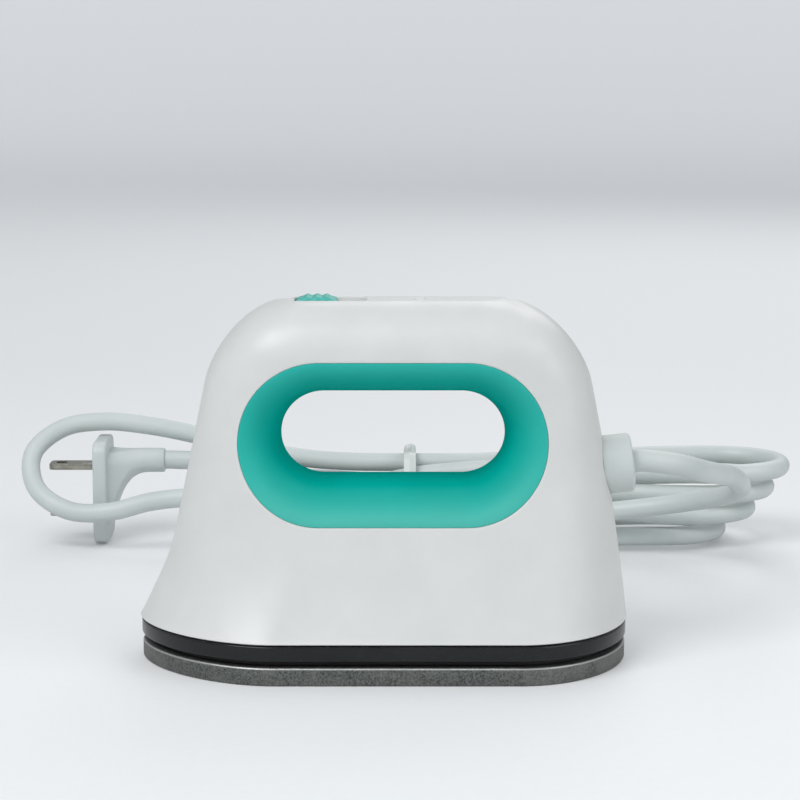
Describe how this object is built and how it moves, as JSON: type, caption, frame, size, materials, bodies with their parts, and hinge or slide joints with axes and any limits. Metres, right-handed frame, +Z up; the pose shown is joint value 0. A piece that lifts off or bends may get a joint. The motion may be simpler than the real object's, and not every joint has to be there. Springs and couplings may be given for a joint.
{
  "type": "mini handheld heat press",
  "caption": "Small hand-held heat press: white moulded body with a lined finger opening, thumb slide, aluminium plate and mains lead in a tied hank.",
  "frame": {"origin": "middle of the heating plate's underside, on the surface the press rests on", "axes": "+Z up; +X towards the end where the mains lead leaves; the nose is at -X; -Y is the side seen first"},
  "size_m": [0.2079, 0.1708, 0.0802],
  "materials": {
    "white_shell": "satin injection-moulded white",
    "teal_liner": "satin teal, slightly translucent",
    "teal_knob": "satin teal",
    "black_resin": "glossy heat-resistant black resin",
    "cast_aluminium": "blasted casting with a bright machined edge",
    "zinc_steel": "zinc-plated",
    "gasket_rubber": "matt silicone",
    "mica": "mica sheet",
    "board_green": "fibreglass board",
    "cord_white": "soft matt PVC, faintly green white",
    "blade_brass": "dull nickelled brass",
    "lens_clear": "milky light pipe",
    "fuse_body": "matt",
    "tie_white": "plastic-coated wire"
  },
  "bodies": {
    "body": {"shell_front": "white_shell", "shell_rear": "white_shell", "handle_liner_front": "teal_liner", "handle_liner_rear": "teal_liner", "shell_screw_1": "zinc_steel", "shell_screw_2": "zinc_steel", "shell_screw_3": "zinc_steel", "shell_screw_4": "zinc_steel", "heating_plate": "cast_aluminium", "heating_element": "mica", "heater_cover": "zinc_steel", "heat_gasket": "gasket_rubber", "base_skirt": "black_resin", "base_screw_1": "zinc_steel", "base_screw_2": "zinc_steel", "base_screw_3": "zinc_steel", "base_screw_4": "zinc_steel", "plate_screw_1": "zinc_steel", "plate_screw_2": "zinc_steel", "plate_screw_3": "zinc_steel", "plate_screw_4": "zinc_steel", "thermal_fuse": "fuse_body", "fuse_clip": "zinc_steel", "temperature_sensor": "fuse_body", "control_board": "board_green", "board_screw_1": "zinc_steel", "board_screw_2": "zinc_steel", "board_screw_3": "zinc_steel", "board_screw_4": "zinc_steel", "slide_switch": "zinc_steel", "indicator_lens": "lens_clear", "cord_gland": "cord_white", "inner_cord": "cord_white", "cord_clamp": "black_resin", "terminal_block": "white_shell", "heater_wire_live": "black_resin", "heater_wire_neutral": "black_resin", "mains_wire_live": "black_resin", "mains_wire_neutral": "black_resin", "switch_wire": "black_resin", "cord_hank": "cord_white", "cord_lead": "cord_white", "cord_tail": "cord_white", "cord_tie": "tie_white", "plug_body": "cord_white", "plug_blade_upper": "blade_brass", "plug_blade_lower": "blade_brass"},
    "slide": {"switch_knob": "teal_knob", "switch_carrier": "black_resin"}
  },
  "joints": [
    {"name": "thumb_slide", "type": "slide", "parent": "body", "child": "slide", "axis": [1, 0, 0], "range_m": [0, 0.006]}
  ]
}
